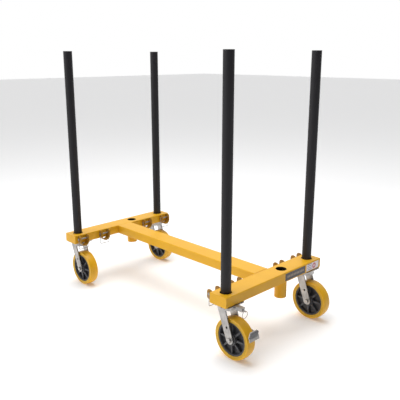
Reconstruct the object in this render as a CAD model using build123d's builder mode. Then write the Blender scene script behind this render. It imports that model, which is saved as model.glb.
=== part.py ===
"""Drywall sheet cart: a welded deck of rectangular tube on four swivel casters, with four lift-out posts.

Millimetres, +Z up. +X is the front end and +Y the left side. The origin is on the floor, under the
middle of the cart's outline.
"""
from build123d import *
import math
import os

os.makedirs("parts", exist_ok=True)

# ---- driving dimensions: deck --------------------------------------------------------------------
post_spacing_x = 1214.0      # post to post along the cart
post_spacing_y = 620.0       # post to post across the cart
crossbar_length = 724.0      # over the closing plates
tube_width = 101.6           # 4 x 2 in rectangular tube, laid flat
tube_height = 50.8
tube_wall = 3.0
tube_corner = 4.5            # outside corner radius of the tube
end_plate_thickness = 3.0
caster_height = 263.2        # floor to the underside of the deck

# ---- posts and sockets ---------------------------------------------------------------------------
post_height = 1053.0         # above the deck
post_diameter = 48.3         # 1.9 in tube
post_wall = 3.0
post_cap_rim = 3.0
post_cap_plug = 22.0
plug_clearance = 0.2
socket_clearance = 3.0       # radial, post in socket
socket_wall = 3.0
socket_weld_gap = 0.1        # tube to the edge of its hole
middle_socket_y = 94.0       # middle sockets stand beside the beam
middle_socket_length = 147.0
socket_chamfer = 1.5

# ---- cradles and wire lock pins ------------------------------------------------------------------
cradle_y = (166.0, 316.0)    # from the cart's centre line, both sides
cradle_reach = 35.0          # out from the crossbar
cradle_post_gap = 0.8        # round a stored post
cradle_wall = 3.0
cradle_top = 1.5             # above the deck
cradle_axis_drop = 32.6      # stored post's axis below the deck
cradle_tip_radius = 15.0     # domed tops of the sides
lock_pin_radius = 4.0
lock_pin_rise = 13.0         # above the stored post's axis
lock_pin_fit = 0.08          # radial, pin in cradle
lock_pin_head_radius = 6.5
lock_pin_head_length = 7.0
lock_pin_side_gap = 0.6      # head to cradle
bail_wire_radius = 1.5
bail_depth = 61.0            # pin axis to the wire's lower run
bail_corner = 6.0
bail_side_gap = 0.65         # wire to cradle
bail_hole_gap = 0.1
bail_hole_depth = 5.0        # up into the pin's head
bail_end_gap = 0.5

# ---- casters -------------------------------------------------------------------------------------
wheel_radius = 101.6         # 8 x 2 in wheel
wheel_width = 50.8
caster_trail = 44.0
caster_outset_x = 4.0        # swivel axis outside the post axis
caster_inset_y = 12.0        # swivel axis inside the post axis
plate_length = 114.3         # across the cart
plate_width = 101.6
plate_thickness = 5.0
plate_corner = 8.0
bolt_spacing_x = 66.0
bolt_spacing_y = 88.0
bolt_radius = 5.0
bolt_hole_gap = 0.3
bolt_head_flats = 14.0
bolt_head_height = 6.0
bolt_nut_height = 8.0
race_boss_radius = 30.0
cup_radius = 46.0
cup_wall = 6.0
cup_gap = 1.0                # cup rim to plate
cup_floor_drop = 12.0        # plate to the cup's floor
cup_floor_thickness = 8.0
ball_radius = 4.7
ball_gap = 0.3
balls_per_race = 18
king_pin_radius = 8.0
king_pin_fit = 0.08
king_nut_flats = 24.0
king_nut_height = 9.0
king_nut_gap = 0.5
fork_gap = 62.0              # between the legs
fork_leg_thickness = 6.4
fork_leg_back = 30.0         # top of a leg, behind the swivel axis
fork_leg_front = 16.0        # and ahead of it
fork_end_radius = 20.0
fork_root = 1.0              # leg's overlap into the crown
fork_hole_x = 27.0
fork_hole_z = 158.0
fork_hole_radius = 6.0
axle_radius = 6.35
axle_hole_gap = 0.1
axle_head_flats = 19.0
axle_head_height = 8.0
axle_nut_height = 11.0
axle_tail = 4.0              # thread past the nut
sleeve_radius = 9.5
sleeve_end_gap = 0.3
bearing_radius = 20.0
bearing_width = 14.0
bearing_fit = 0.08
core_radius = 81.0
core_rim_thickness = 8.0
core_rim_width = 46.0
core_boss_radius = 29.0
core_boss_width = 58.0
core_web_thickness = 8.0
core_ribs = 8
core_rib_thickness = 5.0
core_rib_width = 34.0
tread_crown = 3.0            # drop from the middle of the tread to its edges
tread_shoulder_radius = 12.0
tread_bond_gap = 0.05

# ---- wheel brake and swivel lock, front right caster ---------------------------------------------
brake_gap = 6.0              # shoe to tread, released
brake_shoe_thickness = 4.0
brake_shoe_from = 12.0       # degrees above the axle
brake_shoe_to = 22.0
brake_shoe_width = 44.0
brake_arm_thickness = 4.0
brake_arm_gap = 0.8
brake_arm_radius = 14.0
brake_pivot_fit = 0.08
pedal_width = 46.0
pedal_height = 32.0
pedal_thickness = 9.0
pedal_lean = 14.0            # degrees from upright
pedal_edge = 2.0
pedal_foot_gap = 3.0         # pad's lower edge above the flange's foot
lock_tongue_reach = 92.0     # from the swivel axis
lock_tongue_width = 24.0
lock_housing_width = 18.0
lock_housing_height = 13.5
lock_housing_start = 54.0
plunger_radius = 4.0
plunger_fit = 0.08
plunger_travel = 6.0
plunger_clear = 1.5          # retracted tip to the cup
plunger_tail = 15.0          # past the housing
notch_gap = 0.4              # plunger in the cup's notch
ring_hole_reach = 9.0        # past the housing
ring_wire_radius = 1.5
ring_radius = 17.0
ring_hole_gap = 0.8

# ---- labels --------------------------------------------------------------------------------------
label_thickness = 0.4
label_height = 38.0
label_corner = 2.0
strip_label_y = (64.0, 228.0)
end_label_y = (240.0, 346.0)

# ---- places worked out from the sizes ------------------------------------------------------------
deck_z = caster_height + tube_height
socket_diameter = post_diameter + 2 * (socket_clearance + socket_wall)
tube_mid_z = caster_height + tube_height / 2
swivel_y = post_spacing_y / 2 - caster_inset_y
swivel_half_x = post_spacing_x / 2 + caster_outset_x
leg_outer_y = fork_gap / 2 + fork_leg_thickness
shoe_radius = wheel_radius + brake_gap
lean = math.radians(pedal_lean)
shoe_top_angle = math.radians(brake_shoe_to)
pedal_foot_x = caster_trail + (shoe_radius + brake_shoe_thickness / 2) * math.cos(shoe_top_angle)
pedal_foot_z = wheel_radius + (shoe_radius + brake_shoe_thickness / 2) * math.sin(shoe_top_angle)
pedal_depth = brake_shoe_thickness / 2 + pedal_thickness
pedal_tip_x = pedal_foot_x + pedal_height * math.sin(lean) + pedal_depth * math.cos(lean)

front_reach = swivel_half_x + pedal_tip_x
rear_reach = swivel_half_x - caster_trail + wheel_radius
cart_x = (rear_reach - front_reach) / 2
front_x = cart_x + post_spacing_x / 2
rear_x = cart_x - post_spacing_x / 2
ends = {"front": (front_x, 1), "rear": (rear_x, -1)}
sides = {"left": 1, "right": -1}

tread_inner_radius = core_radius + tread_bond_gap
rib_inner = (core_boss_radius + bearing_radius) / 2
rib_outer = core_radius - core_rim_thickness / 2
plate_z = caster_height - plate_thickness
cup_floor_z = plate_z - cup_floor_drop
cup_base_z = cup_floor_z - cup_floor_thickness


def swivel_at(end, side):
    """Plan position of a caster's swivel axis."""
    x, outward = ends[end]
    return x + outward * caster_outset_x, sides[side] * swivel_y


def write(part, name):
    """Label a finished piece and write its STEP file."""
    part.label = name
    export_step(part, f"parts/{name}.step")


corners = [(end, side) for end in ends for side in sides]
swivels = [swivel_at(end, side) for end, side in corners]
posts = [(ends[end][0], sides[side] * post_spacing_y / 2) for end, side in corners]
middles = [(x, middle_socket_y) for x, outward in ends.values()]

# ---- crossbars: flat rectangular tube, holed for the sockets and the caster bolts ----------------
tube_length = crossbar_length - 2 * end_plate_thickness
socket_hole_radius = socket_diameter / 2 + socket_weld_gap
for end, (x, outward) in ends.items():
    with BuildPart() as crossbar:
        with BuildSketch(Plane.XZ.offset(-tube_length / 2)):
            with Locations((x, tube_mid_z)):
                RectangleRounded(tube_width, tube_height, tube_corner)
                RectangleRounded(tube_width - 2 * tube_wall, tube_height - 2 * tube_wall,
                                 tube_corner - tube_wall, mode=Mode.SUBTRACT)
        extrude(amount=tube_length)
        with BuildSketch(Plane.XY.offset(caster_height)):
            with Locations((x, post_spacing_y / 2), (x, -post_spacing_y / 2), (x, middle_socket_y)):
                Circle(socket_hole_radius)
        extrude(amount=tube_height, mode=Mode.SUBTRACT)
        with BuildSketch(Plane.XY.offset(caster_height)):
            for side in sides:
                with Locations(swivel_at(end, side)):
                    with GridLocations(bolt_spacing_x, bolt_spacing_y, 2, 2):
                        Circle(bolt_radius + bolt_hole_gap)
        extrude(amount=tube_wall, mode=Mode.SUBTRACT)
    write(crossbar.part, f"{end}_crossbar")

# ---- centre beam: the same tube, welded between the crossbars ------------------------------------
beam_length = post_spacing_x - tube_width
with BuildPart() as centre_beam:
    with BuildSketch(Plane.YZ.offset(cart_x - beam_length / 2)):
        with Locations((0, tube_mid_z)):
            RectangleRounded(tube_width, tube_height, tube_corner)
            RectangleRounded(tube_width - 2 * tube_wall, tube_height - 2 * tube_wall,
                             tube_corner - tube_wall, mode=Mode.SUBTRACT)
    extrude(amount=beam_length)
write(centre_beam.part, "centre_beam")

# ---- closing plates on the crossbars' ends -------------------------------------------------------
with BuildPart() as crossbar_end_plates:
    for x, outward in ends.values():
        for face_y in (-tube_length / 2, crossbar_length / 2):
            with BuildSketch(Plane.XZ.offset(-face_y)):
                with Locations((x, tube_mid_z)):
                    RectangleRounded(tube_width, tube_height, tube_corner)
            extrude(amount=end_plate_thickness)
write(crossbar_end_plates.part, "crossbar_end_plates")

# ---- post sockets: short tubes through the crossbars, standing on the caster plates --------------
with BuildPart() as post_sockets:
    with BuildSketch(Plane.XY.offset(caster_height)):
        with Locations(*posts):
            Circle(socket_diameter / 2)
            Circle(socket_diameter / 2 - socket_wall, mode=Mode.SUBTRACT)
    extrude(amount=tube_height)
    mouths = post_sockets.edges().filter_by(GeomType.CIRCLE).group_by(Axis.Z)[-1]
    chamfer(mouths.filter_by(lambda edge: edge.radius < socket_diameter / 2), socket_chamfer)
write(post_sockets.part, "post_sockets")

# ---- middle sockets: longer tubes that hang below the crossbars beside the beam ------------------
with BuildPart() as middle_sockets:
    with BuildSketch(Plane.XY.offset(deck_z - middle_socket_length)):
        with Locations(*middles):
            Circle(socket_diameter / 2)
            Circle(socket_diameter / 2 - socket_wall, mode=Mode.SUBTRACT)
    extrude(amount=middle_socket_length)
    mouths = middle_sockets.edges().filter_by(GeomType.CIRCLE).group_by(Axis.Z)[-1]
    chamfer(mouths.filter_by(lambda edge: edge.radius < socket_diameter / 2), socket_chamfer)
write(middle_sockets.part, "middle_sockets")

# ---- cradles: open-topped U saddles that hold a stored post's end, with a cross hole for the lock pin ---
cradle_inner = post_diameter / 2 + cradle_post_gap
cradle_outer = cradle_inner + cradle_wall
cradle_z = deck_z - cradle_axis_drop
cradle_rise = cradle_top + cradle_axis_drop
pin_z = cradle_z + lock_pin_rise
cradle_places = [side * y for y in cradle_y for side in (-1, 1)]
pin_offset = tube_width / 2 + cradle_reach / 2
for end, (x, outward) in ends.items():
    with BuildPart() as cradles:
        with BuildSketch(Plane.YZ.offset(x - outward * tube_width / 2)):
            for y in cradle_places:
                with Locations((y, cradle_z)):
                    Circle(cradle_outer)
                with Locations((y, cradle_z + cradle_rise / 2)):
                    Rectangle(2 * cradle_outer, cradle_rise)
                with Locations((y, cradle_z)):
                    Circle(cradle_inner, mode=Mode.SUBTRACT)
                with Locations((y, cradle_z + cradle_rise / 2)):
                    Rectangle(2 * cradle_inner, cradle_rise, mode=Mode.SUBTRACT)
        extrude(amount=-outward * cradle_reach)
        fillet(cradles.edges().filter_by(Axis.Y).group_by(Axis.Z)[-1], cradle_tip_radius)
        with BuildSketch(Plane.XZ.offset(-crossbar_length / 2)):
            with Locations((x - outward * pin_offset, pin_z)):
                Circle(lock_pin_radius + lock_pin_fit)
        extrude(amount=crossbar_length, mode=Mode.SUBTRACT)
    write(cradles.part, f"{end}_cradles")

# ---- wire lock pins: a headed pin across each cradle, with a square wire bail from its head to its tip ---
head_y = -(cradle_outer + lock_pin_side_gap)
head_wire_y = head_y - lock_pin_head_length / 2
eye_y = cradle_outer + bail_side_gap + bail_wire_radius
eye_radius = lock_pin_radius + bail_wire_radius + bail_hole_gap
pin_end_y = eye_y + 2 * bail_wire_radius
wire_top_z = pin_z - lock_pin_head_radius + bail_hole_depth - bail_end_gap
for end, (x, outward) in ends.items():
    pin_x = x - outward * pin_offset
    for number, y in enumerate(sorted(cradle_places), start=1):
        with BuildPart() as lock_pin:
            with BuildSketch(Plane.XZ.offset(-(y + pin_end_y))):
                with Locations((pin_x, pin_z)):
                    Circle(lock_pin_radius)
            extrude(amount=pin_end_y - head_y)
            chamfer(lock_pin.faces().sort_by(Axis.Y)[-1].edges(), lock_pin_radius / 4)
            with BuildSketch(Plane.XZ.offset(-(y + head_y))):
                with Locations((pin_x, pin_z)):
                    Circle(lock_pin_head_radius)
            extrude(amount=lock_pin_head_length)
            with BuildSketch(Plane.XY.offset(pin_z - lock_pin_head_radius)):
                with Locations((pin_x, y + head_wire_y)):
                    Circle(bail_wire_radius + bail_hole_gap)
            extrude(amount=bail_hole_depth, mode=Mode.SUBTRACT)
        with BuildPart() as bail:
            with BuildLine():
                wire_run = FilletPolyline(
                    (pin_x, y + head_wire_y, wire_top_z),
                    (pin_x, y + head_wire_y, pin_z - bail_depth),
                    (pin_x, y + eye_y, pin_z - bail_depth),
                    (pin_x, y + eye_y, pin_z - eye_radius),
                    radius=bail_corner,
                )
            with BuildSketch(Plane(origin=wire_run @ 0, z_dir=wire_run % 0)):
                Circle(bail_wire_radius)
            sweep()
            with BuildSketch(Plane.XY.offset(pin_z)):
                with Locations((pin_x + eye_radius, y + eye_y)):
                    Circle(bail_wire_radius)
            revolve(axis=Axis((pin_x, y + eye_y, pin_z), (0, 1, 0)))
        write(Compound(children=[lock_pin.part.solid(), bail.part.solid()]), f"{end}_lock_pin_{number}")

# ---- posts: painted round tube, dropped into the sockets, each with a plastic cap ----------------
post_top_z = deck_z + post_height - post_cap_rim
for (end, side), (x, y) in zip(corners, posts):
    with BuildPart() as post:
        with BuildSketch(Plane.XY.offset(caster_height)):
            with Locations((x, y)):
                Circle(post_diameter / 2)
                Circle(post_diameter / 2 - post_wall, mode=Mode.SUBTRACT)
        extrude(amount=post_top_z - caster_height)
    write(post.part, f"{end}_{side}_post")
    with BuildPart() as cap:
        with BuildSketch(Plane.XY.offset(post_top_z)):
            with Locations((x, y)):
                Circle(post_diameter / 2)
        extrude(amount=post_cap_rim)
        fillet(cap.edges().group_by(Axis.Z)[-1], post_cap_rim / 2)
        with BuildSketch(Plane.XY.offset(post_top_z)):
            with Locations((x, y)):
                Circle(post_diameter / 2 - post_wall - plug_clearance)
        extrude(amount=-post_cap_plug)
    write(cap.part, f"{end}_{side}_post_cap")

# ---- caster plates: bolted under the crossbars, each with the inner race of its swivel -----------
with BuildPart() as caster_plates:
    with BuildSketch(Plane.XY.offset(plate_z)):
        with Locations(*swivels):
            RectangleRounded(plate_width, plate_length, plate_corner)
    extrude(amount=plate_thickness)
    with BuildSketch(Plane.XY.offset(plate_z)):
        with Locations(*swivels):
            Circle(race_boss_radius)
    extrude(amount=-(cup_floor_drop - cup_gap))
    tongue_x, tongue_y = swivel_at("front", "right")
    with BuildSketch(Plane.XY.offset(plate_z)):
        with Locations((tongue_x + lock_tongue_reach / 2, tongue_y)):
            Rectangle(lock_tongue_reach, lock_tongue_width)
    extrude(amount=plate_thickness)
    with BuildSketch(Plane.XY.offset(caster_height)):
        with Locations(*swivels):
            Circle(king_pin_radius)
    extrude(amount=-(plate_thickness + cup_floor_drop), mode=Mode.SUBTRACT)
    with BuildSketch(Plane.XY.offset(plate_z)):
        with Locations(*swivels):
            with GridLocations(bolt_spacing_x, bolt_spacing_y, 2, 2):
                Circle(bolt_radius + bolt_hole_gap)
    extrude(amount=plate_thickness, mode=Mode.SUBTRACT)
write(caster_plates.part, "caster_plates")

# ---- caster bolts and the nuts inside the crossbars ----------------------------------------------
nut_base_z = caster_height + tube_wall
with BuildPart() as caster_bolts:
    with BuildSketch(Plane.XY.offset(plate_z)):
        with Locations(*swivels):
            with GridLocations(bolt_spacing_x, bolt_spacing_y, 2, 2):
                RegularPolygon(bolt_head_flats / 2, 6, major_radius=False)
    extrude(amount=-bolt_head_height)
    with BuildSketch(Plane.XY.offset(plate_z)):
        with Locations(*swivels):
            with GridLocations(bolt_spacing_x, bolt_spacing_y, 2, 2):
                Circle(bolt_radius)
    extrude(amount=nut_base_z + bolt_nut_height - plate_z)
    with BuildSketch(Plane.XY.offset(nut_base_z)):
        with Locations(*swivels):
            with GridLocations(bolt_spacing_x, bolt_spacing_y, 2, 2):
                RegularPolygon(bolt_head_flats / 2, 6, major_radius=False)
                Circle(bolt_radius, mode=Mode.SUBTRACT)
    extrude(amount=bolt_nut_height)
write(caster_bolts.part, "caster_bolts")

# ---- king pins and their nuts, which carry the forks ---------------------------------------------
king_nut_top_z = cup_base_z - king_nut_gap
with BuildPart() as king_pins:
    with BuildSketch(Plane.XY.offset(caster_height)):
        with Locations(*swivels):
            Circle(king_pin_radius)
    extrude(amount=king_nut_top_z - king_nut_height - caster_height)
    with BuildSketch(Plane.XY.offset(king_nut_top_z)):
        with Locations(*swivels):
            RegularPolygon(king_nut_flats / 2, 6, major_radius=False)
    extrude(amount=-king_nut_height)
write(king_pins.part, "king_pins")

# ---- swivel balls between the plates' races and the forks' cups ----------------------------------
ball_ring_radius = (race_boss_radius + cup_radius - cup_wall) / 2
ball_z = cup_floor_z + ball_radius + ball_gap
with BuildPart() as swivel_balls:
    for x, y in swivels:
        with Locations((x, y, ball_z)):
            with PolarLocations(ball_ring_radius, balls_per_race):
                Sphere(ball_radius)
write(swivel_balls.part, "swivel_balls")

# ---- forks: a pressed cup and crown with two slanting legs ---------------------------------------
for (end, side), (x, y) in zip(corners, swivels):
    has_lock = (end, side) == ("front", "right")
    with BuildPart() as fork:
        with BuildSketch(Plane.XY.offset(cup_base_z)):
            with Locations((x, y)):
                Circle(cup_radius)
            with Locations((x + (fork_leg_front - fork_leg_back) / 2, y)):
                Rectangle(fork_leg_front + fork_leg_back, 2 * leg_outer_y)
        extrude(amount=cup_floor_thickness)
        with BuildSketch(Plane.XY.offset(cup_floor_z)):
            with Locations((x, y)):
                Circle(cup_radius)
                Circle(cup_radius - cup_wall, mode=Mode.SUBTRACT)
        extrude(amount=cup_floor_drop - cup_gap)
        for leg_side in (-1, 1):
            face_y = y + (-leg_outer_y if leg_side < 0 else fork_gap / 2)
            with BuildSketch(Plane.XZ.offset(-face_y)):
                with Locations((x + caster_trail, wheel_radius)):
                    Circle(fork_end_radius)
                with Locations((x + (fork_leg_front - fork_leg_back) / 2, cup_base_z + fork_root / 2)):
                    Rectangle(fork_leg_front + fork_leg_back, fork_root)
                make_hull()
                with Locations((x + caster_trail, wheel_radius)):
                    Circle(axle_radius + axle_hole_gap, mode=Mode.SUBTRACT)
                with Locations((x + fork_hole_x, fork_hole_z)):
                    Circle(fork_hole_radius, mode=Mode.SUBTRACT)
            extrude(amount=-fork_leg_thickness)
        with BuildSketch(Plane.XY.offset(cup_base_z)):
            with Locations((x, y)):
                Circle(king_pin_radius + king_pin_fit)
        extrude(amount=cup_floor_thickness, mode=Mode.SUBTRACT)
        if has_lock:
            notch_z = plate_z - lock_housing_height / 2
            for across, centre in ((Plane.YZ.offset(x), y), (Plane.XZ.offset(-y), x)):
                with BuildSketch(across):
                    with Locations((centre, notch_z)):
                        Circle(plunger_radius + notch_gap)
                extrude(amount=cup_radius + plunger_clear, both=True, mode=Mode.SUBTRACT)
    write(fork.part, f"{end}_{side}_fork")

# ---- axles: a hex bolt, its nut and the sleeve that the bearings turn on -------------------------
for (end, side), (x, y) in zip(corners, swivels):
    axle_x = x + caster_trail
    with BuildPart() as bolt:
        with BuildSketch(Plane.XZ.offset(-(y - leg_outer_y))):
            with Locations((axle_x, wheel_radius)):
                RegularPolygon(axle_head_flats / 2, 6, major_radius=False)
        extrude(amount=axle_head_height)
        with BuildSketch(Plane.XZ.offset(-(y - leg_outer_y))):
            with Locations((axle_x, wheel_radius)):
                Circle(axle_radius)
        extrude(amount=-(2 * leg_outer_y + axle_nut_height + axle_tail))
    with BuildPart() as nut:
        with BuildSketch(Plane.XZ.offset(-(y + leg_outer_y))):
            with Locations((axle_x, wheel_radius)):
                RegularPolygon(axle_head_flats / 2, 6, major_radius=False)
                Circle(axle_radius + axle_hole_gap, mode=Mode.SUBTRACT)
        extrude(amount=-axle_nut_height)
    with BuildPart() as sleeve:
        with BuildSketch(Plane.XZ.offset(-(y - fork_gap / 2 + sleeve_end_gap))):
            with Locations((axle_x, wheel_radius)):
                Circle(sleeve_radius)
                Circle(axle_radius + axle_hole_gap, mode=Mode.SUBTRACT)
        extrude(amount=-(fork_gap - 2 * sleeve_end_gap))
    pieces = [bolt.part.solid(), nut.part.solid(), sleeve.part.solid()]
    write(Compound(children=pieces), f"{end}_{side}_axle")

# ---- wheel cores: rim, web, ribs and boss, moulded in one ----------------------------------------
for (end, side), (x, y) in zip(corners, swivels):
    axle_x = x + caster_trail
    wheel_plane = Plane(origin=(axle_x, y, wheel_radius), x_dir=(1, 0, 0), z_dir=(0, -1, 0))
    with BuildPart() as wheel_core:
        with BuildSketch(wheel_plane):
            Circle(core_radius)
            Circle(core_radius - core_rim_thickness, mode=Mode.SUBTRACT)
        extrude(amount=core_rim_width / 2, both=True)
        with BuildSketch(wheel_plane):
            Circle(core_radius - core_rim_thickness / 2)
        extrude(amount=core_web_thickness / 2, both=True)
        with BuildSketch(wheel_plane):
            with PolarLocations((rib_outer + rib_inner) / 2, core_ribs):
                Rectangle(rib_outer - rib_inner, core_rib_thickness)
        extrude(amount=core_rib_width / 2, both=True)
        with BuildSketch(wheel_plane):
            Circle(core_boss_radius)
        extrude(amount=core_boss_width / 2, both=True)
        with BuildSketch(wheel_plane):
            Circle(bearing_radius)
        extrude(amount=core_boss_width / 2, both=True, mode=Mode.SUBTRACT)
    write(wheel_core.part, f"{end}_{side}_wheel_core")

# ---- treads: cast urethane tyres with rounded shoulders, bonded to the cores ---------------------
for (end, side), (x, y) in zip(corners, swivels):
    with BuildPart() as tread:
        with BuildSketch(Plane.YZ.offset(x + caster_trail)):
            with BuildLine():
                crown = ThreePointArc(
                    (y - wheel_width / 2, wheel_radius * 2 - tread_crown),
                    (y, wheel_radius * 2),
                    (y + wheel_width / 2, wheel_radius * 2 - tread_crown),
                )
                Polyline(
                    crown @ 1,
                    (y + wheel_width / 2, wheel_radius + tread_inner_radius),
                    (y - wheel_width / 2, wheel_radius + tread_inner_radius),
                    crown @ 0,
                )
            make_face()
        revolve(axis=Axis((x + caster_trail, y, wheel_radius), (0, 1, 0)))
        shoulders = tread.edges().filter_by(GeomType.CIRCLE).filter_by(
            lambda edge: edge.radius > tread_inner_radius + tread_crown)
        fillet(shoulders, tread_shoulder_radius)
    write(tread.part, f"{end}_{side}_tread")

# ---- wheel bearings: one pressed into each side of the core, turning on the sleeve ---------------
for (end, side), (x, y) in zip(corners, swivels):
    with BuildPart() as bearings:
        for face_y in (y - core_boss_width / 2, y + core_boss_width / 2 - bearing_width):
            with BuildSketch(Plane.XZ.offset(-face_y)):
                with Locations((x + caster_trail, wheel_radius)):
                    Circle(bearing_radius)
                    Circle(sleeve_radius + bearing_fit, mode=Mode.SUBTRACT)
            extrude(amount=-bearing_width)
    write(bearings.part, f"{end}_{side}_wheel_bearings")

# ---- wheel brake on the front right caster: a side arm, a shoe behind the tread and a foot pedal ---
lock_x, lock_y = swivel_at("front", "right")
axle_x = lock_x + caster_trail
pivot_x = lock_x + fork_hole_x
arm_y = lock_y + leg_outer_y + brake_arm_gap
shoe_y = lock_y - brake_shoe_width / 2
shoe_outer = shoe_radius + brake_shoe_thickness
shoe_arc = brake_shoe_to - brake_shoe_from
flange_x = lock_x + pedal_foot_x + pedal_height / 2 * math.sin(lean)
flange_z = pedal_foot_z + pedal_height / 2 * math.cos(lean)
with BuildPart() as brake_arm:
    with BuildSketch(Plane.XZ.offset(-shoe_y)):
        with BuildLine():
            inner = CenterArc((axle_x, wheel_radius), shoe_radius, brake_shoe_from, shoe_arc)
            outer = CenterArc((axle_x, wheel_radius), shoe_outer, brake_shoe_from, shoe_arc)
            Line(inner @ 0, outer @ 0)
            Line(inner @ 1, outer @ 1)
        make_face()
    extrude(amount=-(arm_y + brake_arm_thickness - shoe_y))
    with BuildSketch(Plane.XZ.offset(-(lock_y - pedal_width / 2))):
        with Locations((flange_x, flange_z)):
            Rectangle(brake_shoe_thickness, pedal_height, rotation=-pedal_lean)
    extrude(amount=-pedal_width)
    with BuildSketch(Plane.XZ.offset(-arm_y)):
        with Locations((pivot_x, fork_hole_z)):
            Circle(brake_arm_radius)
        with Locations((inner @ 0 + outer @ 0) / 2, (inner @ 1 + outer @ 1) / 2):
            Circle(brake_shoe_thickness / 2)
        make_hull()
    extrude(amount=-brake_arm_thickness)
    with BuildSketch(Plane.XZ.offset(-(lock_y + fork_gap / 2))):
        with Locations((pivot_x, fork_hole_z)):
            Circle(fork_hole_radius - brake_pivot_fit)
    extrude(amount=-(fork_leg_thickness + brake_arm_gap))
write(brake_arm.part, "brake_arm")

pad_offset = (brake_shoe_thickness + pedal_thickness) / 2
pad_x = flange_x + pad_offset * math.cos(lean) + pedal_foot_gap / 2 * math.sin(lean)
pad_z = flange_z - pad_offset * math.sin(lean) + pedal_foot_gap / 2 * math.cos(lean)
with BuildPart() as brake_pedal:
    with BuildSketch(Plane.XZ.offset(-(lock_y - pedal_width / 2))):
        with Locations((pad_x, pad_z)):
            Rectangle(pedal_thickness, pedal_height - pedal_foot_gap, rotation=-pedal_lean)
    extrude(amount=-pedal_width)
    fillet(brake_pedal.edges().filter_by(Axis.Y).group_by(Axis.X)[-1], pedal_edge)
write(brake_pedal.part, "brake_pedal")

# ---- swivel lock on the same caster: a housing under the plate's tongue, a plunger and its pull ring ---
plunger_z = plate_z - lock_housing_height / 2
housing_length = lock_tongue_reach - lock_housing_start
with BuildPart() as swivel_lock_housing:
    with BuildSketch(Plane.YZ.offset(lock_x + lock_housing_start)):
        with Locations((lock_y, plunger_z)):
            Rectangle(lock_housing_width, lock_housing_height)
            Circle(plunger_radius + plunger_fit, mode=Mode.SUBTRACT)
    extrude(amount=housing_length)
write(swivel_lock_housing.part, "swivel_lock_housing")

plunger_tip_x = lock_x + cup_radius + plunger_clear
ring_hole_x = lock_x + lock_tongue_reach + ring_hole_reach
with BuildPart() as swivel_lock_plunger:
    with BuildSketch(Plane.YZ.offset(plunger_tip_x)):
        with Locations((lock_y, plunger_z)):
            Circle(plunger_radius)
    extrude(amount=lock_x + lock_tongue_reach + plunger_tail - plunger_tip_x)
    chamfer(swivel_lock_plunger.faces().sort_by(Axis.X)[0].edges(), plunger_radius / 4)
    with BuildSketch(Plane.XZ.offset(-(lock_y + plunger_radius))):
        with Locations((ring_hole_x, plunger_z)):
            Circle(ring_wire_radius + ring_hole_gap)
    extrude(amount=2 * plunger_radius, mode=Mode.SUBTRACT)
write(swivel_lock_plunger.part, "swivel_lock_plunger")

with BuildPart() as swivel_lock_ring:
    with BuildSketch(Plane.XZ.offset(-lock_y)):
        with Locations((ring_hole_x, plunger_z)):
            Circle(ring_wire_radius)
    revolve(axis=Axis((ring_hole_x, lock_y, plunger_z - ring_radius), (1, 0, 0)))
write(swivel_lock_ring.part, "swivel_lock_ring")

# ---- labels on the front crossbar's outer face ---------------------------------------------------
for name, (from_y, to_y) in {"strip_label": strip_label_y, "end_label": end_label_y}.items():
    with BuildPart() as label:
        with BuildSketch(Plane.YZ.offset(front_x + tube_width / 2)):
            with Locations(((from_y + to_y) / 2, tube_mid_z)):
                RectangleRounded(to_y - from_y, label_height, label_corner)
        extrude(amount=label_thickness)
    write(label.part, name)
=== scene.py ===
"""Looks of a drywall sheet cart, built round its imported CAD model. Metres, +X front, +Y left, +Z up."""
import math

import bpy
from mathutils import Matrix, Vector


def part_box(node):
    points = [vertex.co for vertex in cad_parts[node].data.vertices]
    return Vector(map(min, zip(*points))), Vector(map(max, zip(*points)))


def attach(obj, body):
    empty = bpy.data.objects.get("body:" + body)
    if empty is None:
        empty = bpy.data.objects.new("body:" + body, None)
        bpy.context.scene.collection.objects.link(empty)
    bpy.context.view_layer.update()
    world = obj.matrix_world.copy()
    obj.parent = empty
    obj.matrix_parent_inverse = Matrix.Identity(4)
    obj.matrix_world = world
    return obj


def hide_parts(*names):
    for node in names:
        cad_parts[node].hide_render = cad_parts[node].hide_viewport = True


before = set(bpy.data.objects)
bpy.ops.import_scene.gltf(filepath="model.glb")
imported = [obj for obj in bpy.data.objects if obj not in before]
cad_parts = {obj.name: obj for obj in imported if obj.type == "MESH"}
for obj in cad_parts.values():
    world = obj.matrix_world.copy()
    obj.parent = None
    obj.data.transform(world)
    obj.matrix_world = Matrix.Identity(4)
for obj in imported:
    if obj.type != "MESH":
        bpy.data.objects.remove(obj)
bpy.ops.object.select_all(action="DESELECT")
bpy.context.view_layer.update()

# ---- welded deck ----
# Two crossbars and a centre beam of rectangular steel tube, with end plates, post sockets, hanging
# middle sockets and the cradles for stored posts. All is welded, then powder coated golden yellow.


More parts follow.
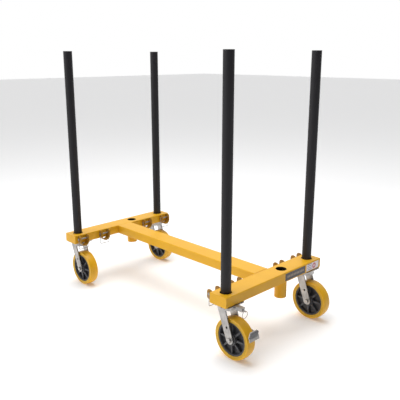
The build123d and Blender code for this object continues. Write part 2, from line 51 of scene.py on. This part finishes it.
class Socket:
    """One output of a node in a material, so that shader maths reads as ordinary sums."""

    def __init__(self, material, output):
        self.material = material
        self.output = output

    def node(self, kind, sockets=None, pick=0, **settings):
        """Any other node: its settings first, then the values or links of its sockets."""
        made = self.material.node_tree.nodes.new(kind)
        for name, value in settings.items():
            setattr(made, name, value)
        for name, value in (sockets or {}).items():
            if isinstance(value, Socket):
                self.material.node_tree.links.new(value.output, made.inputs[name])
            else:
                made.inputs[name].default_value = value
        return Socket(self.material, made.outputs[pick] if made.outputs else None)

    def maths(self, operation, first, second):
        return self.node("ShaderNodeMath", {0: first, 1: second}, operation=operation)

    def __add__(self, other):
        return self.maths("ADD", self, other)

    def __radd__(self, other):
        return self.maths("ADD", other, self)

    def __sub__(self, other):
        return self.maths("SUBTRACT", self, other)

    def __rsub__(self, other):
        return self.maths("SUBTRACT", other, self)

    def __mul__(self, other):
        return self.maths("MULTIPLY", self, other)

    def __rmul__(self, other):
        return self.maths("MULTIPLY", other, self)

    def __gt__(self, other):
        return self.maths("GREATER_THAN", self, other)

    def __lt__(self, other):
        return self.maths("LESS_THAN", self, other)

    def noise(self, scale, detail=3.0, stretch=(1.0, 1.0, 1.0)):
        """Cloudy pattern, 0 to 1, with that many lumps to the metre."""
        place = self.node("ShaderNodeMapping", {"Vector": self, "Scale": stretch})
        return place.node("ShaderNodeTexNoise", {"Vector": place, "Scale": scale, "Detail": detail})

    def band(self, low, high):
        """0 below low, 1 above high, and a smooth step between."""
        return self.node("ShaderNodeMapRange", {"Value": self, "From Min": low, "From Max": high},
                         interpolation_type="SMOOTHSTEP")

    def tint(self, from_colour, to_colour):
        """Mixes two colours by this mask."""
        sockets = {0: self}
        for index, colour in ((6, from_colour), (7, to_colour)):
            sockets[index] = colour if isinstance(colour, Socket) else (*colour, 1.0)
        return self.node("ShaderNodeMix", sockets, pick=2, data_type="RGBA")


def start_finish(name):
    """A new material and its Object coordinates."""
    material = bpy.data.materials.new(name)
    material.use_nodes = True
    material.node_tree.nodes.clear()
    place = material.node_tree.nodes.new("ShaderNodeTexCoord")
    return material, Socket(material, place.outputs["Object"])


def close_finish(colour, roughness, height, bump, depth, **constants):
    """Puts colour, roughness and relief on a Principled surface, with constants by socket name."""
    relief = height.node("ShaderNodeBump", {"Height": height, "Strength": bump, "Distance": depth})
    sockets = {"Base Color": colour, "Roughness": roughness, "Normal": relief}
    sockets.update({name.replace("_", " "): value for name, value in constants.items()})
    surface = relief.node("ShaderNodeBsdfPrincipled", sockets)
    surface.node("ShaderNodeOutputMaterial", {"Surface": surface})


def paint(finish, *names):
    """Gives a finish to CAD nodes or pieces, in place of what they had."""
    for name in names:
        mesh = bpy.data.objects[name].data
        mesh.materials.clear()
        mesh.materials.append(finish)


YELLOW = (0.80, 0.42, 0.012)
DEEP_YELLOW = (0.70, 0.35, 0.009)
# Near black painted shade for the inside of each socket's bore, where shade falls.
PAINTED_BORE_SHADE = (0.012, 0.010, 0.009)
SOCKET_BORE = 0.0275
tube_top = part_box("front_crossbar")[1].z
ends = ("front", "rear")
corners = [f"{end}_{side}" for end in ends for side in ("left", "right")]


def middle_of(node):
    low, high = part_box(node)
    return (low + high) / 2


def yellow_coat(name, bores=(), body=YELLOW, shade=DEEP_YELLOW):
    """Powder coat with orange peel and slight mottling. Bores are upright axes, coloured near black inside
    as painted shade.
    """
    material, place = start_finish(name)
    mottle = place.noise(7.0, 2.0).band(0.35, 0.7)
    specks = place.noise(260.0, 1.0).band(0.70, 0.76)
    colour = (mottle * 0.35 + specks * 0.25).tint(body, shade)
    for x, y in bores:
        flat = place.node("ShaderNodeMapping", {"Vector": place, "Location": (-x, -y, 0.0)})
        flat = flat.node("ShaderNodeVectorMath", {0: flat, 1: (1.0, 1.0, 0.0)}, operation="MULTIPLY")
        away = flat.node("ShaderNodeVectorMath", {0: flat}, pick=1, operation="LENGTH")
        # Painted shade: inside the bore's radius the coat is coloured near black.
        colour = (away < SOCKET_BORE).tint(colour, PAINTED_BORE_SHADE)
    peel = place.noise(650.0, 2.0)
    close_finish(colour, 0.36 + peel * 0.12, peel, 0.12, 0.0006,
                 Coat_Roughness=0.2, Coat_Weight=0.05, Specular_IOR_Level=0.3)
    return material


deck_coat = yellow_coat("deck_powder_coat")
paint(deck_coat, "front_crossbar", "rear_crossbar", "centre_beam", "crossbar_end_plates")
# The cradles take the same yellow coat, coloured darker as painted shade in their hollows.
CRADLE_PAINTED_SHADE = (0.40, 0.20, 0.020)
DEEP_CRADLE_PAINTED_SHADE = (0.24, 0.13, 0.018)
paint(yellow_coat("cradle_coat_painted_shade", (), CRADLE_PAINTED_SHADE, DEEP_CRADLE_PAINTED_SHADE), "front_cradles", "rear_cradles")
bar_centres = [middle_of(f"{end}_crossbar").x for end in ends]
middle_y = middle_of("middle_sockets").y
paint(yellow_coat("middle_socket_coat", [(x, middle_y) for x in bar_centres]), "middle_sockets")
post_axes = [(middle_of(f"{corner}_post").x, middle_of(f"{corner}_post").y) for corner in corners]
paint(yellow_coat("post_socket_coat", post_axes), "post_sockets")

# ---- weld beads ----
# Fillet welds in mild steel, laid by hand in overlapping ripples and coated over with the deck: round
# each hanging socket under its crossbar, and down both sides of the beam where it meets the crossbars.
BEAD = 0.0034
RIPPLE = 0.0004
RIPPLE_PITCH = 0.0045
SEAM_STEPS = 168
SEAM_SIDES = 8
BEAD_SIDES = 10
BEAD_CUTS = 39


def settle(name):
    """Names the new piece and puts its place into its mesh."""
    piece = bpy.context.object
    piece.name = name
    bpy.ops.object.transform_apply(location=True, rotation=True, scale=True)
    return piece


def look_smooth(piece, degrees):
    bpy.ops.object.select_all(action="DESELECT")
    piece.select_set(True)
    bpy.context.view_layer.objects.active = piece
    bpy.ops.object.shade_smooth_by_angle(angle=math.radians(degrees))


def ripple(piece, along):
    """Raises a bead's surface in even ripples, by how far along the seam each point is."""
    for vertex in piece.data.vertices:
        wave = math.sin(2 * math.pi * along(vertex.co) / RIPPLE_PITCH)
        vertex.co += vertex.normal * RIPPLE * wave


def finish_bead(piece, along):
    ripple(piece, along)
    look_smooth(piece, 60)
    paint(deck_coat, piece.name)
    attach(piece, "frame")


bar_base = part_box("front_crossbar")[0].z
socket_low, socket_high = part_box("middle_sockets")
socket_radius = (socket_high.y - socket_low.y) / 2
for end, x in zip(ends, bar_centres):
    bpy.ops.mesh.primitive_torus_add(
        location=(x, middle_y, bar_base), major_radius=socket_radius, minor_radius=BEAD,
        major_segments=SEAM_STEPS, minor_segments=SEAM_SIDES)
    bead = settle(f"{end}_socket_weld")
    finish_bead(bead, lambda co: math.atan2(co.y - middle_y, co.x - x) * socket_radius)

beam_low, beam_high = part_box("centre_beam")
beam_middle = (beam_low + beam_high) / 2
for end, x in (("front", beam_high.x), ("rear", beam_low.x)):
    for side, y in (("left", beam_high.y), ("right", beam_low.y)):
        length = beam_high.z - beam_low.z - 2 * BEAD
        bpy.ops.mesh.primitive_cylinder_add(
            location=(x, y, beam_middle.z), radius=BEAD, depth=length, vertices=BEAD_SIDES,
            end_fill_type="TRIFAN")
        bead = settle(f"{end}_{side}_beam_weld")
        bpy.ops.object.mode_set(mode="EDIT")
        bpy.ops.mesh.select_all(action="DESELECT")
        bpy.ops.object.mode_set(mode="OBJECT")
        for edge in bead.data.edges:
            a, b = (bead.data.vertices[i].co for i in edge.vertices)
            edge.select = abs(a.z - b.z) > length / 2
        bpy.ops.object.mode_set(mode="EDIT")
        bpy.ops.mesh.subdivide(number_cuts=BEAD_CUTS)
        bpy.ops.object.mode_set(mode="OBJECT")
        finish_bead(bead, lambda co: co.z)

# ---- upright posts ----
# Round steel tube in satin black powder coat, dropped loose into the sockets, with the coat rubbed
# paler just above the deck. Each is closed by a moulded black plastic cap, which is pressed in.
BLACK = (0.010, 0.009, 0.012)
RUBBED = (0.030, 0.026, 0.028)
RUBBED_HEIGHT = 0.12
post_coat, place = start_finish("post_powder_coat")
drop = place.node("ShaderNodeSeparateXYZ", {0: place}, pick=2)
near_deck = 1.0 - drop.band(tube_top, tube_top + RUBBED_HEIGHT)
rub = near_deck * place.noise(40.0, 4.0, (1.0, 1.0, 0.25)).band(0.5, 0.62)
haze = place.noise(9.0, 3.0, (1.0, 1.0, 0.3)).band(0.4, 0.75)
peel = place.noise(700.0, 2.0)
close_finish((rub * 0.6 + haze * 0.2).tint(BLACK, RUBBED), 0.42 + peel * 0.14 + rub * 0.1,
             peel, 0.10, 0.0005, Specular_IOR_Level=0.35)
paint(post_coat, *[f"{corner}_post" for corner in corners])

CAP_BLACK = (0.012, 0.012, 0.013)
CAP_GREY = (0.022, 0.021, 0.022)
cap_plastic, place = start_finish("cap_plastic")
grain = place.noise(900.0, 3.0)
close_finish(grain.tint(CAP_BLACK, CAP_GREY), 0.45 + grain * 0.2, grain, 0.15, 0.0004)
CAP_SIDES = 64
CAP_LEDGE = 0.0034
CAP_BORDER = 0.0045
CAP_DISH = 0.0007
CAP_EDGE = 0.0010


def pick_faces(piece, wanted):
    """Selects the faces that wanted(centre, normal) accepts, and goes to edit mode."""
    bpy.ops.object.mode_set(mode="EDIT")
    bpy.ops.mesh.select_all(action="DESELECT")
    bpy.ops.object.mode_set(mode="OBJECT")
    for face in piece.data.polygons:
        face.select = wanted(face.center, face.normal)
    bpy.ops.object.mode_set(mode="EDIT")
    bpy.ops.mesh.select_mode(type="FACE")


def round_edges(piece, width, segments, degrees=30):
    edge_round = piece.modifiers.new("edge", "BEVEL")
    edge_round.width = width
    edge_round.segments = segments
    edge_round.limit_method = "ANGLE"
    edge_round.angle_limit = math.radians(degrees)
    bpy.context.view_layer.objects.active = piece
    bpy.ops.object.modifier_apply(modifier="edge")


def copy_to(original, name, shift):
    """The same piece at another corner, with its own mesh."""
    piece = original.copy()
    piece.data = original.data.copy()
    piece.parent = None
    bpy.context.collection.objects.link(piece)
    piece.name = name
    piece.data.transform(Matrix.Translation(shift))
    return piece


model_corner = corners[0]
cap_low, cap_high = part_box(f"{model_corner}_post_cap")
cap_centre = (cap_low + cap_high) / 2
rim_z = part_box(f"{model_corner}_post")[1].z
bpy.ops.mesh.primitive_cylinder_add(
    location=(cap_centre.x, cap_centre.y, (rim_z + cap_high.z) / 2), radius=(cap_high.x - cap_low.x) / 2,
    depth=cap_high.z - rim_z, vertices=CAP_SIDES)
first_cap = settle(f"{model_corner}_cap")
pick_faces(first_cap, lambda centre, normal: normal.z < -0.9)
bpy.ops.mesh.inset(thickness=CAP_LEDGE)
bpy.ops.mesh.extrude_region_move(TRANSFORM_OT_translate={"value": (0, 0, cap_low.z - rim_z)})
bpy.ops.object.mode_set(mode="OBJECT")
pick_faces(first_cap, lambda centre, normal: normal.z > 0.9)
bpy.ops.mesh.inset(thickness=CAP_BORDER)
bpy.ops.mesh.extrude_region_move(TRANSFORM_OT_translate={"value": (0, 0, -CAP_DISH)})
bpy.ops.object.mode_set(mode="OBJECT")
round_edges(first_cap, CAP_EDGE, 3)
look_smooth(first_cap, 40)
for corner in corners:
    shift = middle_of(f"{corner}_post_cap") - cap_centre
    piece = first_cap if corner == model_corner else copy_to(first_cap, f"{corner}_cap", shift)
    paint(cap_plastic, piece.name)
    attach(piece, f"{corner}_post")
    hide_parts(f"{corner}_post_cap")

# ---- caster steelwork ----
# Pressed and welded steel top plates, forks and fixings under bright zinc plate, which is streaky and
# a little dull, with the darker grain of the pressing showing along the legs.
ZINC_BRIGHT = (0.50, 0.48, 0.46)
ZINC_DULL = (0.30, 0.29, 0.28)
STEEL_BRIGHT = (0.55, 0.55, 0.56)
STEEL_DULL = (0.40, 0.40, 0.42)


def zinc(name, bright, dull, roughness, grain_scale):
    material, place = start_finish(name)
    cloud = place.noise(28.0, 4.0).band(0.3, 0.72)
    streak = place.noise(grain_scale, 3.0, (1.0, 1.0, 0.12)).band(0.3, 0.8)
    fine = place.noise(1100.0, 2.0)
    close_finish((cloud * 0.5 + streak * 0.3).tint(bright, dull), roughness + cloud * 0.12 + streak * 0.08,
                 streak * 0.5 + fine * 0.5, 0.10, 0.0004, Metallic=0.88)
    return material


zinc_plate = zinc("zinc_plate", ZINC_BRIGHT, ZINC_DULL, 0.32, 210.0)
paint(zinc_plate, "caster_plates", "caster_bolts", "king_pins", "swivel_lock_housing", "swivel_lock_plunger")
paint(zinc_plate, "brake_arm", "swivel_lock_ring")
paint(zinc_plate, *[f"{corner}_{part}" for corner in corners for part in ("fork", "axle")])
ground_steel = zinc("ground_steel", STEEL_BRIGHT, STEEL_DULL, 0.18, 500.0)
paint(ground_steel, "swivel_balls", *[f"{corner}_wheel_bearings" for corner in corners])

# ---- wire lock pins ----
# Headed steel pins across the cradles, each with a square bail of spring wire from its head round to
# its tip. The wire is drawn and zinc plated, a little darker than the pressings.
WIRE_BRIGHT = (0.40, 0.39, 0.37)
WIRE_DULL = (0.24, 0.23, 0.22)
PINS_PER_END = 4
pin_zinc = zinc("pin_zinc", WIRE_BRIGHT, WIRE_DULL, 0.28, 320.0)
pin_numbers = range(1, PINS_PER_END + 1)
paint(pin_zinc, *[f"{end}_lock_pin_{number}" for end in ends for number in pin_numbers])

# ---- wheel treads ----
# Cast urethane tyres in amber yellow: a crowned tread, round shoulders, and a duller side wall that
# ends in a low moulded ring against the core. They are bonded to the cores.
AMBER = (0.86, 0.46, 0.018)
DEEP_AMBER = (0.70, 0.37, 0.014)
OLIVE = (0.66, 0.39, 0.025)
DEEP_OLIVE = (0.52, 0.30, 0.018)
PICKED_UP = (0.16, 0.11, 0.045)


def urethane(name, body, shade, roughness):
    material, place = start_finish(name)
    cloud = place.noise(16.0, 3.0).band(0.3, 0.75)
    dirt = place.noise(90.0, 5.0).band(0.62, 0.75)
    fine = place.noise(800.0, 2.0)
    colour = (dirt * 0.22).tint((cloud * 0.7).tint(body, shade), PICKED_UP)
    close_finish(colour, roughness + dirt * 0.15 + fine * 0.08, fine, 0.10, 0.0004, Specular_IOR_Level=0.35)
    return material


tread_urethane = urethane("tread_urethane", AMBER, DEEP_AMBER, 0.34)
wall_urethane = urethane("wall_urethane", OLIVE, DEEP_OLIVE, 0.42)
WHEEL_SIDES = 96
WALL_RADIUS = 0.0945
SEAT_RADIUS = 0.0812
SHOULDER = 0.006
WALL_STEP = 0.0012
RING_WIDTH = 0.0032
RING_STEP = 0.0010
RING_RISE = 0.0008


def wheel_disc(name, centre, radius, width):
    """A short cylinder on the axle line, to be shaped into a piece of the wheel."""
    bpy.ops.mesh.primitive_cylinder_add(
        location=centre, rotation=(math.pi / 2, 0, 0), radius=radius, depth=width,
        vertices=WHEEL_SIDES)
    return settle(name)


def open_through():
    """Takes away the picked end faces and walls the hole between them."""
    bpy.ops.mesh.delete(type="FACE")
    bpy.ops.mesh.select_mode(type="EDGE")
    bpy.ops.mesh.select_all(action="DESELECT")
    bpy.ops.mesh.select_non_manifold()
    bpy.ops.mesh.bridge_edge_loops()
    bpy.ops.mesh.select_all(action="SELECT")
    bpy.ops.mesh.normals_make_consistent(inside=False)
    bpy.ops.object.mode_set(mode="OBJECT")


wheel_centres = {corner: middle_of(f"{corner}_tread") for corner in corners}
hub = wheel_centres[model_corner]
tread_low, tread_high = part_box(f"{model_corner}_tread")
tread_radius = (tread_high.z - tread_low.z) / 2
tread_width = tread_high.y - tread_low.y
TREAD_CROWN = 0.003
LOOP_SHARES = (-0.5, 0.0, 0.5)
LOOP_REACH = 0.0005
first_tread = wheel_disc(f"{model_corner}_tyre", hub, tread_radius - TREAD_CROWN, tread_width)
for share in LOOP_SHARES:
    bpy.ops.object.mode_set(mode="EDIT")
    bpy.ops.mesh.select_all(action="SELECT")
    bpy.ops.mesh.bisect(plane_co=(hub.x, hub.y + share * tread_width / 2, hub.z), plane_no=(0, 1, 0))
    bpy.ops.object.mode_set(mode="OBJECT")
for share in LOOP_SHARES:
    bpy.ops.object.mode_set(mode="EDIT")
    bpy.ops.mesh.select_mode(type="VERT")
    bpy.ops.mesh.select_all(action="DESELECT")
    bpy.ops.object.mode_set(mode="OBJECT")
    for vertex in first_tread.data.vertices:
        vertex.select = abs(vertex.co.y - hub.y - share * tread_width / 2) < LOOP_REACH
    bpy.ops.object.mode_set(mode="EDIT")
    grown = (tread_radius - TREAD_CROWN * share ** 2) / (tread_radius - TREAD_CROWN)
    bpy.ops.transform.resize(value=(grown, 1, grown), center_override=hub)
    bpy.ops.object.mode_set(mode="OBJECT")
pick_faces(first_tread, lambda centre, normal: abs(normal.y) > 0.99)
bpy.ops.mesh.inset(thickness=tread_radius - TREAD_CROWN - WALL_RADIUS, use_individual=True)
bpy.ops.mesh.inset(thickness=WALL_STEP, depth=-WALL_STEP, use_individual=True)
bpy.ops.mesh.inset(thickness=WALL_RADIUS - SEAT_RADIUS - RING_WIDTH, use_individual=True)
bpy.ops.mesh.inset(thickness=RING_STEP, depth=RING_RISE, use_individual=True)
bpy.ops.mesh.inset(thickness=RING_STEP, use_individual=True)
open_through()
round_edges(first_tread, SHOULDER, 5, 60)
look_smooth(first_tread, 40)
first_tread.data.materials.append(tread_urethane)
first_tread.data.materials.append(wall_urethane)
for face in first_tread.data.polygons:
    away = math.hypot(face.center.x - hub.x, face.center.z - hub.z)
    if away < WALL_RADIUS:
        face.material_index = 1
treads = {model_corner: first_tread}
for corner in corners[1:]:
    treads[corner] = copy_to(first_tread, f"{corner}_tyre", wheel_centres[corner] - hub)
for corner, piece in treads.items():
    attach(piece, f"{corner}_wheel")
    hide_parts(f"{corner}_tread")

# ---- wheel cores ----
# One moulding in near-black plastic: a rim, a thin web, eight tapered ribs on each side and a long
# boss for the bearings. The ribs carry a painted highlight in cloudy patches, paler than the pockets.
CORE = (0.040, 0.038, 0.041)
# Paler tone for the core's random mottling, and for the ribs' painted highlight.
CORE_PALE_AND_HIGHLIGHT = (0.085, 0.092, 0.105)
core_plastic, place = start_finish("core_plastic")
cloud = place.noise(35.0, 4.0).band(0.35, 0.75)
grain = place.noise(750.0, 3.0)
close_finish((cloud * 0.35).tint(CORE, CORE_PALE_AND_HIGHLIGHT), 0.36 + grain * 0.18, grain, 0.14, 0.0005)
# Painted highlight: the ribs are the core's plastic, coloured paler in cloudy patches to stand in for light
# on them.
rib_plastic_painted_highlight, place = start_finish("rib_plastic_painted_highlight")
grain = place.noise(600.0, 3.0)
painted_rib_highlight = place.noise(60.0, 4.0).band(0.35, 0.7)
close_finish((painted_rib_highlight * 0.7).tint(CORE, CORE_PALE_AND_HIGHLIGHT), 0.30 + grain * 0.18, grain, 0.14, 0.0005)

core_low, core_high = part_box(f"{model_corner}_wheel_core")
core_radius = (core_high.z - core_low.z) / 2
RIM_WIDTH = 0.046
RIM_WALL = 0.0075
WEB_DEPTH = 0.017
RIM_DRAFT = 0.003
BOSS_DRAFT = 0.002
CORE_EDGE = 0.0012
BOSS_RADIUS = 0.029
BORE_RADIUS = 0.0202
boss_rise = (core_high.y - core_low.y - RIM_WIDTH) / 2 + WEB_DEPTH
first_core = wheel_disc(f"{model_corner}_core", hub, core_radius, RIM_WIDTH)
pick_faces(first_core, lambda centre, normal: abs(normal.y) > 0.99)
bpy.ops.mesh.inset(thickness=RIM_WALL, use_individual=True)
bpy.ops.mesh.inset(thickness=RIM_DRAFT, depth=-WEB_DEPTH, use_individual=True)
web_width = core_radius - RIM_WALL - RIM_DRAFT - BOSS_RADIUS - BOSS_DRAFT
bpy.ops.mesh.inset(thickness=web_width, use_individual=True)
bpy.ops.mesh.inset(thickness=BOSS_DRAFT, depth=boss_rise, use_individual=True)
bpy.ops.mesh.inset(thickness=BOSS_RADIUS - BORE_RADIUS, use_individual=True)
open_through()
round_edges(first_core, CORE_EDGE, 3)
look_smooth(first_core, 40)
first_core.data.materials.append(core_plastic)

RIBS = 8
RIB_OUTER = 0.0755
RIB_INNER = 0.0275
RIB_THICK = 0.0065
RIB_HALF = 0.0185
RIB_FLARE = (1, 1.25, 1.7)
RIB_EDGE = 0.0011
bpy.ops.mesh.primitive_cube_add(size=1, location=hub + Vector(((RIB_OUTER + RIB_INNER) / 2, 0, 0)))
bpy.context.object.scale = (RIB_OUTER - RIB_INNER, 2 * RIB_HALF, RIB_THICK)
first_ribs = settle(f"{model_corner}_ribs")
pick_faces(first_ribs, lambda centre, normal: normal.x < -0.9)
bpy.ops.transform.resize(value=RIB_FLARE, center_override=hub + Vector((RIB_INNER, 0, 0)))
bpy.ops.object.mode_set(mode="OBJECT")
round_edges(first_ribs, RIB_EDGE, 3)
rib_size = len(first_ribs.data.vertices)
bpy.ops.object.mode_set(mode="EDIT")
for turn in range(1, RIBS):
    bpy.ops.mesh.select_all(action="DESELECT")
    bpy.ops.object.mode_set(mode="OBJECT")
    for vertex in first_ribs.data.vertices:
        vertex.select = vertex.index < rib_size
    bpy.ops.object.mode_set(mode="EDIT")
    bpy.ops.mesh.select_mode(type="VERT")
    bpy.ops.mesh.duplicate()
    bpy.ops.transform.rotate(value=turn * 2 * math.pi / RIBS, orient_axis="Y", center_override=hub)
bpy.ops.object.mode_set(mode="OBJECT")
look_smooth(first_ribs, 40)
first_ribs.data.materials.append(rib_plastic_painted_highlight)
for corner in corners:
    shift = wheel_centres[corner] - hub
    core = first_core if corner == model_corner else copy_to(first_core, f"{corner}_core", shift)
    ribs = first_ribs if corner == model_corner else copy_to(first_ribs, f"{corner}_ribs", shift)
    for piece in (core, ribs):
        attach(piece, f"{corner}_wheel")
    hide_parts(f"{corner}_wheel_core")

# ---- brake pedal pad ----
# A plain steel foot pad with rounded outer edges, fixed to the brake arm's flange, in dark grey
# paint that boots have worn paler in patches.
PEDAL_GREY = (0.085, 0.085, 0.090)
WORN_GREY = (0.21, 0.21, 0.21)
pedal_paint, place = start_finish("pedal_paint")
wear = place.noise(140.0, 5.0).band(0.5, 0.68)
fine = place.noise(800.0, 2.0)
close_finish((wear * 0.5).tint(PEDAL_GREY, WORN_GREY), 0.42 + fine * 0.14, fine, 0.14, 0.0005)
paint(pedal_paint, "brake_pedal")

# ---- labels ----
# Two printed film labels on the front crossbar's outer face: a dark strip with a row of pale bars,
# and a pale one with a red ring beside blue-grey bars. Both carry plain shapes and no words.
STRIP_DARK = (0.030, 0.022, 0.018)
STRIP_BAR = (0.30, 0.22, 0.15)
STRIP_MARGIN = 0.012
BAR_STEP = 0.0125
BAR_GAP = 0.35
BAR_HALF = 0.006
strip_low, strip_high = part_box("strip_label")
dark_film, place = start_finish("dark_label_film")
along = place.node("ShaderNodeSeparateXYZ", {0: place}, pick=1)
height = place.node("ShaderNodeSeparateXYZ", {0: place}, pick=2)
strip_mid_z = (strip_low.z + strip_high.z) / 2
cycle = along.maths("FRACT", (along - strip_low.y) * (1 / BAR_STEP), 0.0)
bars = (cycle > BAR_GAP) * (height > strip_mid_z - BAR_HALF) * (height < strip_mid_z + BAR_HALF)
bars = bars * (along > strip_low.y + STRIP_MARGIN) * (along < strip_high.y - STRIP_MARGIN)
scuff = place.noise(300.0, 4.0)
colour = (bars * 0.8).tint(STRIP_DARK, STRIP_BAR)
close_finish(colour, 0.28 + scuff * 0.2, scuff, 0.06, 0.0003, Coat_Weight=0.3, Coat_Roughness=0.15)
paint(dark_film, "strip_label")

FILM = (0.80, 0.74, 0.76)
BAR_INK = (0.11, 0.09, 0.24)
RED_INK = (0.55, 0.05, 0.08)
MARK_ALONG = 0.066
MARK_OUTER = 0.015
MARK_INNER = 0.006
ROW_STEP = 0.0095
ROW_GAP = 0.55
ROWS_FROM = 0.008
ROWS_TO = 0.046
end_low, end_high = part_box("end_label")
pale_film, place = start_finish("pale_label_film")
along = place.node("ShaderNodeSeparateXYZ", {0: place}, pick=1)
height = place.node("ShaderNodeSeparateXYZ", {0: place}, pick=2)
end_mid_z = (end_low.z + end_high.z) / 2
mark_y = end_low.y + MARK_ALONG
spot = place.node("ShaderNodeMapping", {"Vector": place, "Location": (-end_high.x, -mark_y, -end_mid_z)})
away = spot.node("ShaderNodeVectorMath", {0: spot}, pick=1, operation="LENGTH")
ring = (away < MARK_OUTER) * (away > MARK_INNER)
row = along.maths("FRACT", (height - end_low.z) * (1 / ROW_STEP), 0.0)
bars = (row > ROW_GAP) * (along > end_low.y + ROWS_FROM) * (along < end_low.y + ROWS_TO)
scuff = place.noise(300.0, 4.0)
colour = (bars * 0.75).tint(FILM, BAR_INK)
colour = (ring * 0.9).tint(colour, RED_INK)
close_finish(colour, 0.28 + scuff * 0.2, scuff, 0.06, 0.0003, Coat_Weight=0.3, Coat_Roughness=0.15)
paint(pale_film, "end_label")

# ---- studio ----
# A plain pale floor in a white surround that gives less light from the front, though it looks white
# all round, under a large soft light from above and a weak one from the right. The camera is at chest
# height, off the front right corner.
FLOOR_SIZE = 60
FLOOR_DARK = (0.93, 0.93, 0.93)
FLOOR_PALE = (0.96, 0.96, 0.96)
bpy.ops.mesh.primitive_plane_add(size=FLOOR_SIZE, location=(0, 0, 0))
floor = settle("floor")
floor_paint, place = start_finish("floor_paint")
soft = place.noise(0.6, 2.0)
close_finish(soft.tint(FLOOR_DARK, FLOOR_PALE), 0.7 + soft * 0.1, soft, 0.02, 0.001,
             Emission_Color=(1.0, 1.0, 1.0, 1.0), Emission_Strength=0.12)
floor.data.materials.append(floor_paint)

WHITE_SIDE = (1.0, 1.0, 1.0)
DIM_SIDE = (0.08, 0.08, 0.09)
world = bpy.data.worlds.new("studio")
bpy.context.scene.world = world
world.use_nodes = True
backdrop = world.node_tree.nodes["Background"]
sky = Socket(world, world.node_tree.nodes.new("ShaderNodeTexCoord").outputs["Generated"])
forward = sky.node("ShaderNodeSeparateXYZ", {0: sky}, pick=0)
shade = forward.band(-0.1, 0.45).tint(WHITE_SIDE, DIM_SIDE)
seen = sky.node("ShaderNodeLightPath").tint(shade, WHITE_SIDE)
world.node_tree.links.new(seen.output, backdrop.inputs["Color"])
backdrop.inputs["Strength"].default_value = 1.0

LIGHTS = (("key", (-1.6, -3.6, 2.4), 15.0, 2.6), ("top", (-0.3, 0.1, 4.4), 130.0, 3.2))
AIM_AT = Vector((0, 0, 0.4))
for name, spot_at, watts, size in LIGHTS:
    bpy.ops.object.light_add(type="AREA", location=spot_at)
    light = bpy.context.object
    light.name = name
    light.data.energy = watts
    light.data.size = size
    light.rotation_euler = (AIM_AT - Vector(spot_at)).to_track_quat("-Z", "Y").to_euler()

CAMERA_AT = (2.1225, -2.0084, 1.3398)
CAMERA_TURN = 45.604
CAMERA_DIP = 14.54
CAMERA_LENS = 49.9
CAMERA_SENSOR = 36
bpy.ops.object.camera_add(
    location=CAMERA_AT, rotation=(math.radians(90 - CAMERA_DIP), 0, math.radians(CAMERA_TURN)))
camera = bpy.context.object
camera.data.sensor_width = CAMERA_SENSOR
camera.data.lens = CAMERA_LENS
bpy.context.scene.camera = camera
bpy.context.scene.view_settings.view_transform = "Standard"
